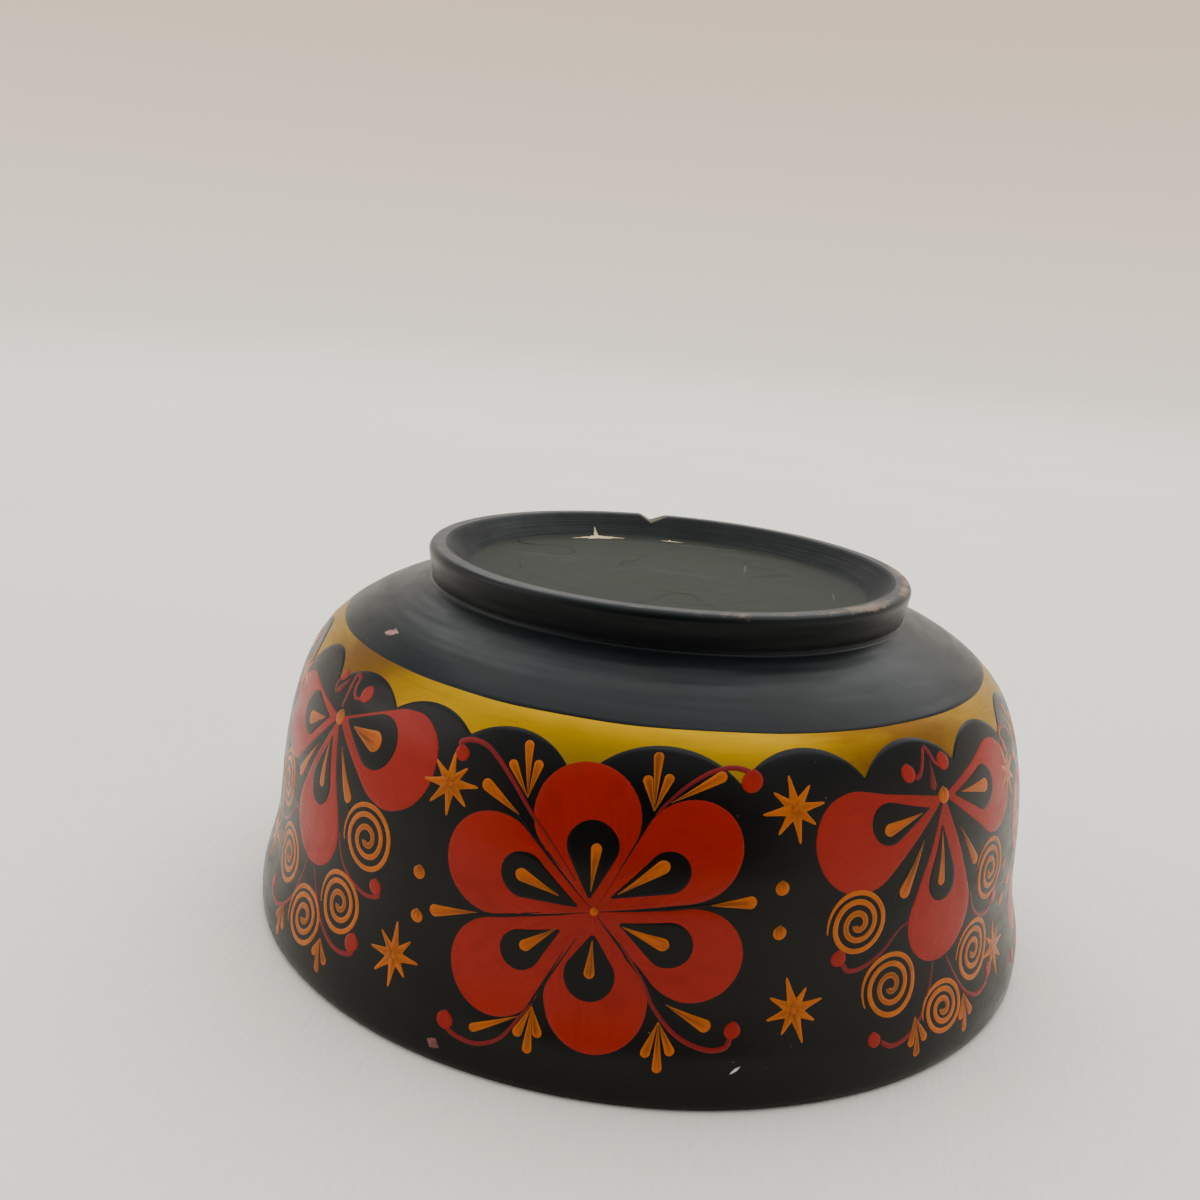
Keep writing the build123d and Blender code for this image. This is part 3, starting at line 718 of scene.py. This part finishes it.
    def finish(self, name, materials, node):
        attributes = {
            "brush": ("FLOAT_VECTOR", self.brush),
            "load": ("FLOAT", self.load),
            "rim": ("FLOAT", self.rim),
        }
        nodes = [node] if node else []
        return piece(name, self.points, self.faces, materials, nodes, attributes, self.slots)


STAR_ARMS = (5.2, 4.2, 5.3, 4.3, 5.0, 4.6, 5.4, 4.4)
STAR_CORE = 1.35
STAR_CORE_SINK = 0.005    # the core lies this far under the arms
STAR_REACHES = (0.0, 0.12, 0.3, 0.55, 0.8, 0.93, 1.0)
STAR_WIDTHS = (0.85, 0.95, 0.78, 0.52, 0.32, 0.22, 0.08)
SPIRAL_TURNS = 3.1

FLOWER_UP = 30.3         # height of a full flower's centre up the wall from the rim
ROSETTE_PETALS = (
    (-2.6, 14.0, 8.2), (13.5, 10.5, 7.8), (15.5, -5.5, 7.5),
    (1.5, -14.2, 7.9), (-14.5, -11.8, 7.7), (-16.4, 4.3, 7.9),
)
ROSETTE_HEARTS = (
    (-0.9, 1.5, -1.2, 9.8, 4.0), (1.8, 2.2, 10.5, 7.2, 3.3), (3.5, -1.2, 11.6, -4.0, 3.7),
    (0.2, -3.2, 0.2, -10.3, 4.0), (-4.5, -3.5, -10.8, -8.2, 3.3), (-2.0, 0.2, -11.4, 3.7, 3.6),
)
ROSETTE_GAPS = (-48.5, -117.1, 193.9, 136.6)
ROSETTE_FAINT_GAPS = (65.2, 9.2)
ROSETTE_STROKES = (
    (-0.8, 2.5, -0.6, 9.5, 0.9), (2.8, 2.8, 9.5, 8.0, 1.1), (4.0, -1.6, 10.6, -3.9, 1.1),
    (0.2, -4.0, 0.2, -9.8, 0.9), (-5.0, -3.3, -10.0, -7.3, 1.0), (-5.0, 1.4, -11.5, 3.6, 1.1),
    (-18.3, -4.1, -25.8, -6.0, 1.0), (16.8, 2.6, 23.2, 3.2, 1.0),
    (-12.5, 12.2, -18.7, 15.7, 1.0), (9.5, 17.5, 16.5, 21.8, 0.9),
    (12.0, -13.3, 18.3, -16.3, 1.0), (-9.5, -18.3, -17.0, -22.0, 0.7),
)
ROSETTE_SPRIGS = (
    ((-12.0, 15.2), (-13.0, 23.0), (-15.0, 19.6), (-11.0, 20.3)),
    ((7.2, 16.0), (6.8, 24.2), (5.7, 20.5), (8.8, 21.0)),
    ((11.3, -16.0), (11.9, -23.0), (9.9, -20.8), (13.5, -20.3)),
    ((-8.0, -16.5), (-8.0, -23.0), (-9.8, -20.8), (-6.7, -20.3)),
)
ROSETTE_TENDRILS = (
    (((-3, 4), (-8, 10), (-11, 13), (-15, 17.5), (-19, 21), (-22, 21.8), (-24.5, 21)), (-24.0, 19.3, 1.2)),
    (((7.5, 15.5), (9, 17.5), (12, 20.5), (15, 22.5), (18, 23.3), (20.5, 22.8)), (21.3, 21.3, 1.7)),
    (((4, -4), (8, -9.5), (10, -13.5), (13, -17), (16, -19), (19.5, -20), (22, -19.5)), (22.7, -17.0, 1.3)),
    (((-8, -16), (-10, -19), (-12.5, -22.5), (-16, -24.3), (-19, -24.3), (-21, -23.7)), (-22.0, -22.3, 1.4)),
)

# The two half flowers in front, which differ a little as painted. Each is repeated once at the back.
HALF_RIGHT = {
    "up": 46.5,
    "petals": ((-18.5, -5.0, 8.0), (-0.5, -19.5, 8.0), (17.0, -2.0, 7.9)),
    "hearts": (
        (-3.5, -1.3, -12.8, -2.6, 3.4), (-1.0, -4.0, -0.9, -13.6, 3.5), (2.5, -0.3, 12.5, -1.2, 3.8),
    ),
    "drops": (
        (-5.0, -1.7, -12.8, -3.5, 1.1), (-1.0, -5.0, -1.2, -13.6, 0.9), (4.5, -0.3, 12.8, -1.0, 1.2),
        (-5.5, -6.0, -9.8, -13.8, 1.1), (3.9, -5.8, 8.7, -12.5, 0.9),
    ),
    "sprigs": (
        ((-6.2, -35.5), (-7.4, -39.5), (-6.0, -41.5), (-4.3, -39.3)),
        ((7.3, -35.5), (6.0, -39.0), (7.3, -41.5), (9.0, -39.0)),
    ),
    "spirals": (
        (-18.9, -17.7, 5.7, 1.0), (-11.4, -29.3, 6.0, 1.0), (1.0, -36.0, 4.8, 1.15),
        (10.8, -29.3, 5.8, 1.0), (15.0, -16.2, 5.8, 1.0),
    ),
    "tendrils": (
        (((-8.3, -19), (-10.5, -20), (-13.5, -23), (-17, -25), (-20, -25.3)), (-22.0, -23.0, 1.3)),
        (((-1.5, -27.5), (-2.5, -32), (-5, -36), (-8, -38.2), (-11.5, -39)), (-15.2, -37.3, 1.2)),
        (((2, -27.5), (5, -32), (8, -35.5), (11.5, -37.2), (15, -36.7)), (17.0, -34.8, 1.2)),
        (((7.7, -18), (9.5, -21.5), (12.5, -23.6), (15.5, -23.8)), (18.0, -22.0, 1.2)),
    ),
    "bud lines": (
        ((-6.4, 4.2), (-5.4, 3.7), (-4.2, 4.8), (-2.2, 8.2)),
        ((-2.0, 8.4), (-1.4, 7.6), (-0.6, 5.4), (0.6, 4.8)),
    ),
    "bud dots": ((-7.3, 4.6, 1.45), (1.5, 5.3, 1.45)),
    "bud stem": ((-1.7, 6.0), (-2.2, 2.0), 0.75),
}
HALF_LEFT = {
    "up": 47.0,
    "petals": ((-16.6, -4.9, 7.8), (-0.8, -18.4, 7.9), (17.1, -1.8, 8.4)),
    "hearts": (
        (-3.2, -1.0, -10.9, -2.7, 3.9), (-0.4, -3.0, -0.9, -12.1, 3.6), (2.2, 0.5, 11.8, -0.5, 4.7),
    ),
    "drops": (
        (-4.2, -1.4, -10.4, -3.5, 1.3), (-0.9, -3.6, -0.5, -11.6, 0.9), (4.5, 0.0, 11.2, -0.6, 1.8),
        (-4.6, -6.2, -10.0, -13.1, 1.0), (3.2, -3.9, 8.2, -11.2, 1.0),
    ),
    "sprigs": (
        ((-8.2, -37.4), (-9.3, -43.0), (-7.0, -40.9), (-10.2, -40.3)),
        ((6.8, -36.8), (7.5, -41.9), (9.2, -39.8), (6.0, -39.5)),
    ),
    "spirals": (
        (-17.9, -17.8, 5.8, 1.0), (-11.7, -29.5, 5.8, 1.0), (0.0, -35.9, 5.6, 1.08),
        (9.6, -29.4, 5.8, 1.0), (14.7, -16.1, 6.2, 1.0),
    ),
    "tendrils": (
        (((-8.3, -19), (-10.5, -20.4), (-13.5, -23), (-17, -25), (-20, -25.3)), (-21.6, -23.4, 1.3)),
        (
            ((-2.4, -26.0), (-4.2, -30.8), (-6.0, -35), (-8.8, -37.8), (-12, -39), (-15.4, -38.6)),
            (-16.4, -37, 1.2),
        ),
        (
            ((0.2, -26.0), (1.8, -29.7), (5, -33.7), (9, -36.2), (12.8, -36.7), (15.4, -35.8)),
            (14.7, -34.3, 1.6),
        ),
        (
            ((7.6, -17.5), (8.4, -20.8), (10.3, -23.2), (13.3, -24.8), (16.5, -25.3), (19, -24.4)),
            (18, -23.2, 1.3),
        ),
    ),
    "bud lines": (
        ((-4.2, 3.9), (-5.0, 3.3), (-5.8, 4.4), (-5.2, 6.4)),
        ((-0.6, 1.6), (-0.9, 4.4), (-1.6, 7.9)),
        ((-1.6, 7.9), (0.0, 7.4), (0.4, 5.6), (1.8, 4.2), (3.6, 4.5)),
    ),
    "bud dots": ((-4.9, 6.3, 1.0), (4.3, 5.6, 1.5)),
    "bud stem": ((-2.3, 6.6), (-4.0, 4.0), 0.7),
}


HALF_GAPS = (-130.0, -55.0)
GAP_REACHES = (0.0, 1.5, 3.5, 6.0, 8.5, 11.0, 13.5)
GAP_WIDTHS = (0.04, 0.09, 0.13, 0.17, 0.21, 0.25, 0.20)
GAP_CLOSES = 14.0        # reach at which a pair of gap lines would meet
GAP_LINES = ((0.10, 4.0), (-0.42, 7.0))  # (to the side, start) of the two lines in a gap
FAINT_GAP_LINES = ((0.0, 6.5),)
SPRIG_RADIUS = 0.76
ROSETTE_CENTRE = 0.62
HALF_CENTRE = 1.3
COLUMN_DOT = 1.1
TENDRIL_WIDTHS = (0.20, 0.46)
BUD_WIDTHS = (0.42, 0.30)
INTO_BLOB = 0.35         # a tendril runs on into its blob, to this share of what is left


def petals(painting, flowers, hearts, gaps, faint_gaps=()):
    """Red petals about a centre, with a black heart in each and dark lines between them."""
    for x, y, radius in flowers:
        painting.drop((0, 0), (x, y), radius, RED_LIFT, 0, 17, 0.02)
    for angle in gaps + faint_gaps:
        way = Vector((cos(radians(angle)), sin(radians(angle))))
        aside = Vector((-way.y, way.x))
        lines = GAP_LINES if angle in gaps else FAINT_GAP_LINES
        for off, start in lines:
            spine = [
                way * (start + reach) + aside * off * (1 - reach / GAP_CLOSES) for reach in GAP_REACHES
            ]
            painting.stroke(spine, GAP_WIDTHS, GAP_LIFT, 1, 3)
    for tip_x, tip_y, x, y, radius in hearts:
        painting.drop((tip_x, tip_y), (x, y), radius, HEART_LIFT, 1, 11, 0.04)


def ochre_strokes(painting, drops, sprigs, centre):
    for tip_x, tip_y, x, y, radius in drops:
        painting.drop((tip_x, tip_y), (x, y), radius, OCHRE_LIFT)
    for stem, *heads in sprigs:
        for head in heads:
            painting.drop(stem, head, SPRIG_RADIUS, OCHRE_LIFT)
    painting.dot((0, 0), centre, DOT_LIFT)


def tendrils(painting, routes):
    for route, (x, y, radius) in routes:
        blob = Vector((x, y))
        into = blob + (Vector(route[-1]) - blob) * INTO_BLOB
        painting.line(route + (into,), *TENDRIL_WIDTHS, TENDRIL_LIFT)
        painting.dot(blob, radius, BLOB_LIFT, 1)


REPEAT_LOOSENESS = 0.22  # how far a repeated flower strays from the front one
ROSETTES = (("front", 0.0), ("right", 90.0), ("back", 180.0), ("left", 270.0))
HALF_FLOWERS = (
    ("front_right", 48.5, HALF_RIGHT, 0.0), ("back_right", 136.5, HALF_LEFT, 1.0),
    ("back_left", 226.0, HALF_RIGHT, 1.0), ("front_left", 315.05, HALF_LEFT, 0.0),
)
COLUMNS = (
    ("right", 24.0, (0.0, 47.5), ((-1.8, 35.6), (-1.7, 28.6)), (1.8, 16.0)),
    ("left", -22.5, (1.8, 44.7), ((-1.2, 29.5), (-0.9, 22.3)), (-4.4, 14.5)),
)

for number, (where, angle) in enumerate(ROSETTES):
    loose = REPEAT_LOOSENESS if number else 0.0
    work = Painting(angle, FLOWER_UP, 10 + number, loose)
    petals(work, ROSETTE_PETALS, ROSETTE_HEARTS, ROSETTE_GAPS, ROSETTE_FAINT_GAPS)
    work.finish(f"flower_{where}_petals", [RED, HEART_BLACK], f"rosette_{where}_petals")
    work = Painting(angle, FLOWER_UP, 20 + number, loose)
    ochre_strokes(work, ROSETTE_STROKES, ROSETTE_SPRIGS, ROSETTE_CENTRE)
    work.finish(f"flower_{where}_strokes", [OCHRE], f"rosette_{where}_strokes")
    work = Painting(angle, FLOWER_UP, 30 + number, loose)
    tendrils(work, ROSETTE_TENDRILS)
    work.finish(f"flower_{where}_tendrils", [DARK_RED, RED], f"rosette_{where}_tendrils")
    for side, off, high, pair, low in COLUMNS:
        work = Painting(angle + off, 0.0, 40 + number + (side == "left") * 5, loose)
        for x, y in (high, low):
            work.star((x, y), OCHRE_LIFT, work.chance.uniform(0, 20))
        for x, y in pair:
            work.dot((x, y), COLUMN_DOT, OCHRE_LIFT)
        work.finish(f"column_{where}_{side}", [OCHRE], f"stars_{where}_{side}")

for number, (where, angle, chart, share) in enumerate(HALF_FLOWERS):
    loose = REPEAT_LOOSENESS * share
    work = Painting(angle, chart["up"], 50 + number, loose)
    petals(work, chart["petals"], chart["hearts"], HALF_GAPS)
    work.finish(f"half_{where}_petals", [RED, HEART_BLACK], f"half_flower_{where}_petals")
    work = Painting(angle, chart["up"], 60 + number, loose)
    ochre_strokes(work, chart["drops"], chart["sprigs"], HALF_CENTRE)
    work.finish(f"half_{where}_strokes", [OCHRE], f"half_flower_{where}_strokes")
    work = Painting(angle, chart["up"], 70 + number, loose)
    for x, y, size, squash in chart["spirals"]:
        work.spiral((x, y), size, OCHRE_LIFT, squash)
    work.finish(f"half_{where}_spirals", [OCHRE], f"half_flower_{where}_spirals")
    work = Painting(angle, chart["up"], 80 + number, loose)
    for route in chart["bud lines"]:
        work.line(route, *BUD_WIDTHS, TENDRIL_LIFT)
    for x, y, radius in chart["bud dots"]:
        work.dot((x, y), radius, BLOB_LIFT, 1)
    work.drop(*chart["bud stem"], TENDRIL_LIFT)
    work.finish(f"half_{where}_bud", [DARK_RED, RED], f"half_flower_{where}_bud")
    work = Painting(angle, chart["up"], 90 + number, loose)
    tendrils(work, chart["tendrils"])
    work.finish(f"half_{where}_tendrils", [DARK_RED, RED], f"half_flower_{where}_tendrils")

# ------------------------ chips and flecks

CHIP_LIFT = 0.012
CHIP_REACHES = (-0.12, 0.1, 0.3, 0.5, 0.7, 0.9, 1.0)     # along an arm, as shares of its length
CHIP_WIDTHS = (0.3, 1.0, 0.85, 0.8, 0.42, 0.25, 0.05)   # and the arm's half widths there


def chip(name, angle, path, arms, material, seed):
    """A ragged chip in the coats: pointed arms of (degrees, length, half width) from one place."""
    work = Painting(angle, path, seed, lip=0.0)
    for lean, reach, width in arms:
        way = Vector((cos(radians(lean)), sin(radians(lean))))
        spine = [way * reach * t for t in CHIP_REACHES]
        widths = [width * part for part in CHIP_WIDTHS]
        work.stroke(spine, widths, CHIP_LIFT, across=3)
    work.finish(name, [material], None)


chip(
    "chip_disc_edge", -149.5, RECESS_EDGE - 0.3,
    (
        (178, 6.6, 0.75), (3, 6.4, 0.55), (-94, 3.2, 0.55), (-25, 1.5, 0.6), (-158, 1.7, 0.7),
        (160, 3.4, 0.9), (80, 1.0, 1.0), (25, 3.0, 0.8),
    ),
    PALE_WOOD, 101,
)
chip(
    "chip_disc_small", -174.8, RECESS_EDGE - 0.1,
    ((180, 3.2, 0.3), (0, 2.2, 0.24), (-90, 0.8, 0.4)), PALE_WOOD, 102,
)
chip(
    "chip_shoulder", -49.3, LIP_PATH + 64.1,
    ((200, 1.8, 0.85), (20, 1.9, 0.9), (100, 1.3, 0.6), (-60, 0.9, 0.6)), PRIMER_PINK, 103,
)
chip(
    "chip_wall_low", -18.1, LIP_PATH + 3.6,
    ((160, 1.2, 0.85), (-20, 1.2, 0.9), (60, 1.1, 0.8), (-120, 1.1, 0.7)), PRIMER_RED, 104,
)
chip(
    "fleck_wall_low", 18.2, LIP_PATH + 7.2,
    ((35, 1.1, 0.26), (215, 0.9, 0.22)), LIME, 105,
)

# ------------------------ what shows of the CAD

for name in ("clay_primer_outside", "clay_primer_inside"):
    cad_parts[name].data.materials.clear()
    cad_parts[name].data.materials.append(PRIMER)
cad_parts["turned_body"].data.materials.clear()
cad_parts["turned_body"].data.materials.append(WOOD)

# ------------------------ floor, light and camera

FLOOR_REACH = 2.8
FLOOR_CELLS = 200
FOLD_HEIGHT = 0.0025
FLAT_AROUND = 0.12       # the cloth lies flat inside this radius
FLOOR_FADE = (0.9, 2.6)  # the cloth runs out into the backdrop over these distances
FRONT_FADE = (-0.31, -0.20)  # and in front, over this stretch of Y


def floor():
    """A pale cloth, laid flat under the bowl and a little uneven further out."""
    points, faces = [], []
    for row in range(FLOOR_CELLS + 1):
        for column in range(FLOOR_CELLS + 1):
            spot = Vector((column, row, 0)) / FLOOR_CELLS * 2 - Vector((1, 1, 0))
            spot *= FLOOR_REACH
            away = min(1.0, max(0.0, spot.length - FLAT_AROUND) / 0.3)
            spot.z = -FOLD_HEIGHT * away * (0.5 + noise.noise(spot * 4.0))
            points.append(spot)
    for row in range(FLOOR_CELLS):
        for column in range(FLOOR_CELLS):
            start = row * (FLOOR_CELLS + 1) + column
            faces.append((start, start + 1, start + FLOOR_CELLS + 2, start + FLOOR_CELLS + 1))
    mesh = bpy.data.meshes.new("floor")
    mesh.from_pydata(points, [], faces)
    mesh.shade_smooth()
    made = bpy.data.objects.new("floor", mesh)
    bpy.context.scene.collection.objects.link(made)
    look = Shader("pale cloth", Roughness=0.9)
    where = look.node("ShaderNodeTexCoord").outputs["Object"]
    threads = look.noise(look.stretched(where, (1400.0, 160.0, 1.0)), 1.0, 2, 0.5)
    tone = look.noise(where, 6.0, 3)
    base = look.mix(look.span(tone, 0.35, 0.65), rgba(0.88, 0.81, 0.71), rgba(0.84, 0.775, 0.685))
    look.colour(look.mix(look.span(threads, 0.4, 0.7, 0, 0.25), base, rgba(0.66, 0.64, 0.60)))
    look.bump(threads, 0.0002, 0.5)
    away = look.node("ShaderNodeVectorMath", Vector=where)
    away.operation = "LENGTH"
    parts = look.node("ShaderNodeSeparateXYZ", Vector=where)
    far = look.span(away.outputs["Value"], *FLOOR_FADE, 1.0, 0.0)
    near = look.span(parts.outputs["Y"], *FRONT_FADE)
    look.feed(look.surface.inputs["Alpha"], look.maths("MINIMUM", far, near))
    mesh.materials.append(look.material)


SOFTBOXES = (            # name, place, side, watts, colour
    ("softbox_above", (0.2, 1.0, 2.4), 4.2, 140.0, (1.0, 1.0, 0.99)),
    ("softbox_left", (-2.2, -0.4, 1.3), 1.6, 15.0, (1.0, 0.97, 0.93)),
)
LIT_HEIGHT = 0.03        # the softboxes face this height on the axis


def light(name, spot, size, power, colour):
    """A softbox that faces the bowl."""
    lamp = bpy.data.lights.new(name, "AREA")
    lamp.size = size
    lamp.energy = power
    lamp.color = colour
    made = bpy.data.objects.new(name, lamp)
    made.location = spot
    made.rotation_euler = (Vector((0, 0, LIT_HEIGHT)) - Vector(spot)).to_track_quat("-Z", "Y").to_euler()
    bpy.context.scene.collection.objects.link(made)


DIM_SIDE = (0.05, -0.99, 0.0)    # the camera's side of the room is dim
DIM_FROM = 0.60
DIM_FULL = 0.90
ROOM_DIM = rgba(0.01, 0.01, 0.01)
ROOM_LEVEL = rgba(1.30, 1.20, 1.05)      # what lights the bowl, from the horizon
ROOM_ABOVE = rgba(0.60, 0.68, 0.72)
SEEN_LEVEL = rgba(1.36, 1.22, 1.02)      # what the backdrop looks like, from the horizon
SEEN_ABOVE = rgba(1.05, 0.80, 0.60)
ROOM_BLEND = (0.05, 0.75)                # the sine of the height at which the colours above take over
SEEN_BLEND = (-0.12, 0.26)


def surroundings():
    """A pale room, dim on the side that the camera stands on. A plain pale backdrop is seen instead."""
    room = bpy.data.worlds.new("room")
    room.use_nodes = True
    tree = room.node_tree

    def node(kind, **settings):
        made = tree.nodes.new(kind)
        for key, value in settings.items():
            setattr(made, key, value)
        return made

    def smooth(value, low, high):
        made = node("ShaderNodeMapRange", interpolation_type="SMOOTHSTEP")
        made.inputs["From Min"].default_value = low
        made.inputs["From Max"].default_value = high
        tree.links.new(value, made.inputs["Value"])
        return made.outputs["Result"]

    def mix(factor, a, b):
        made = node("ShaderNodeMix", data_type="RGBA")
        sockets = {s.identifier: s for s in made.inputs}
        tree.links.new(factor, sockets["Factor_Float"])
        for key, colour in (("A_Color", a), ("B_Color", b)):
            if isinstance(colour, tuple):
                sockets[key].default_value = colour
            else:
                tree.links.new(colour, sockets[key])
        return next(s for s in made.outputs if s.identifier == "Result_Color")

    where = node("ShaderNodeTexCoord").outputs["Generated"]
    parts = node("ShaderNodeSeparateXYZ")
    tree.links.new(where, parts.inputs[0])
    toward = node("ShaderNodeVectorMath", operation="DOT_PRODUCT")
    toward.inputs[1].default_value = DIM_SIDE
    tree.links.new(where, toward.inputs[0])
    lit = mix(smooth(parts.outputs["Z"], *ROOM_BLEND), ROOM_LEVEL, ROOM_ABOVE)
    lit = mix(smooth(toward.outputs["Value"], DIM_FROM, DIM_FULL), lit, ROOM_DIM)
    seen = mix(smooth(parts.outputs["Z"], *SEEN_BLEND), SEEN_LEVEL, SEEN_ABOVE)
    both = mix(node("ShaderNodeLightPath").outputs["Is Camera Ray"], lit, seen)
    tree.links.new(both, tree.nodes["Background"].inputs["Color"])
    bpy.context.scene.world = room


CAMERA_AT = Vector((0.0202, -0.2456, 0.1202))
CAMERA_HEADING = 97.66
CAMERA_PITCH = -13.667
CAMERA_ROLL = 5.04
CAMERA_LENS = 38.63


def camera():
    heading, pitch, roll = (radians(a) for a in (CAMERA_HEADING, CAMERA_PITCH, CAMERA_ROLL))
    forward = Vector((cos(heading) * cos(pitch), sin(heading) * cos(pitch), sin(pitch)))
    level_right = forward.cross(Vector((0, 0, 1))).normalized()
    level_up = level_right.cross(forward)
    right = level_right * cos(roll) + level_up * sin(roll)
    up = level_up * cos(roll) - level_right * sin(roll)
    lens = bpy.data.cameras.new("camera")
    lens.lens = CAMERA_LENS
    lens.sensor_width = 36
    lens.clip_start = 0.01
    made = bpy.data.objects.new("camera", lens)
    turn = Matrix((right, up, -forward)).transposed().to_4x4()
    made.matrix_world = Matrix.Translation(CAMERA_AT) @ turn
    bpy.context.scene.collection.objects.link(made)
    bpy.context.scene.camera = made


floor()
surroundings()
for softbox in SOFTBOXES:
    light(*softbox)
camera()
